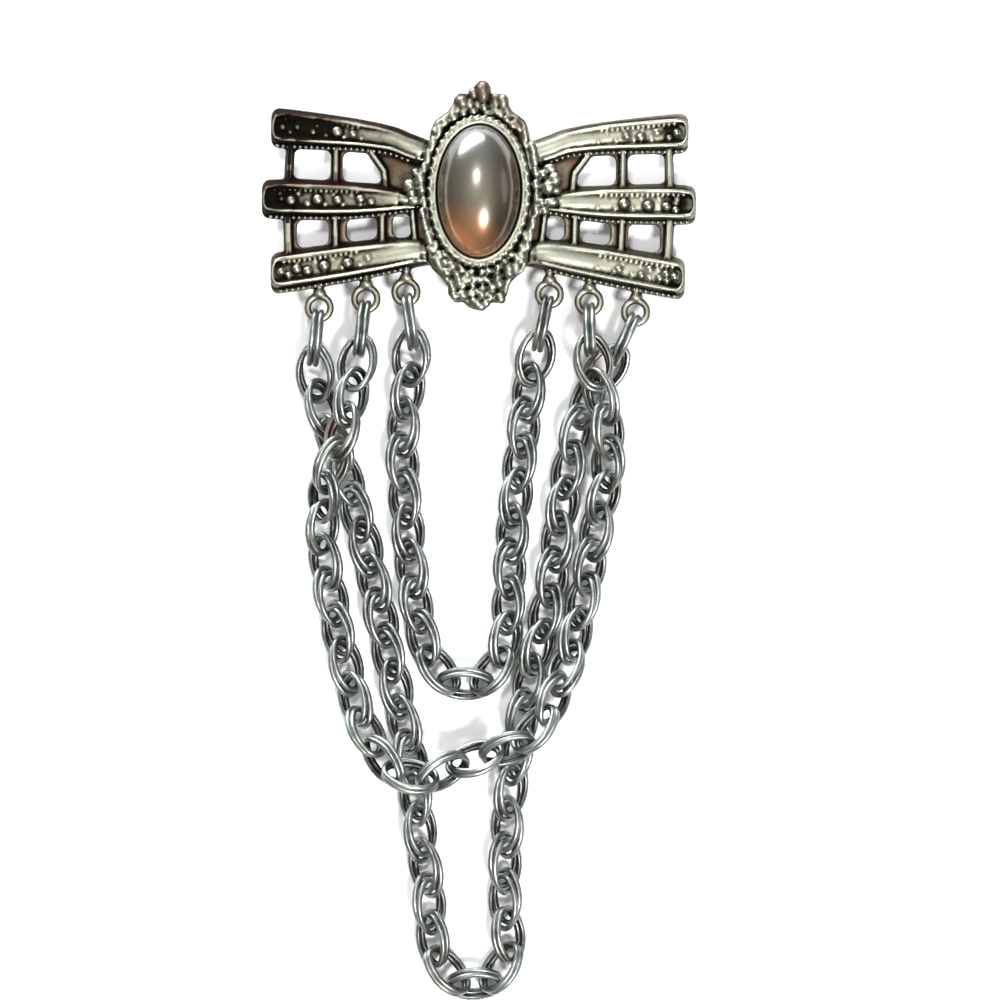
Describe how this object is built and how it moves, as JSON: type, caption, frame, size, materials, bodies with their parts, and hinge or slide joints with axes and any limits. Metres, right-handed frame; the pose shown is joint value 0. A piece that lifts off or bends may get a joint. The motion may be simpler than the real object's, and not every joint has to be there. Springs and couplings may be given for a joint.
{
  "type": "bow brooch with swag chains",
  "caption": "Openwork cast bow brooch with an oval pearl cabochon in a scrolled setting, a bar pin behind it, and hanging swag chains of paired oval links, laid flat.",
  "frame": {"origin": "centre of the bounding box in X and Y, on the surface that the jewel lies on", "axes": "+X to the right as seen from the front, +Y from the lowest chain link to the bow, +Z from the surface to the jewel's front"},
  "size_m": [0.0522, 0.1106, 0.0102],
  "materials": {
    "silver_cast": "antiqued cast silver tone, worn bright on the edges and dark in the recesses",
    "silver_chain": "polished silver tone wire, slightly tarnished",
    "pin_metal": "plain silver tone",
    "pearl": "glossy imitation pearl, grey brown with a pinkish lustre"
  },
  "bodies": {
    "root": {"bow": "silver_cast", "pearl_setting": "silver_cast", "pearl": "pearl", "bar_pin": "pin_metal", "inner_chain": "silver_chain", "middle_chain": "silver_chain", "long_chain": "silver_chain"}
  },
  "joints": []
}
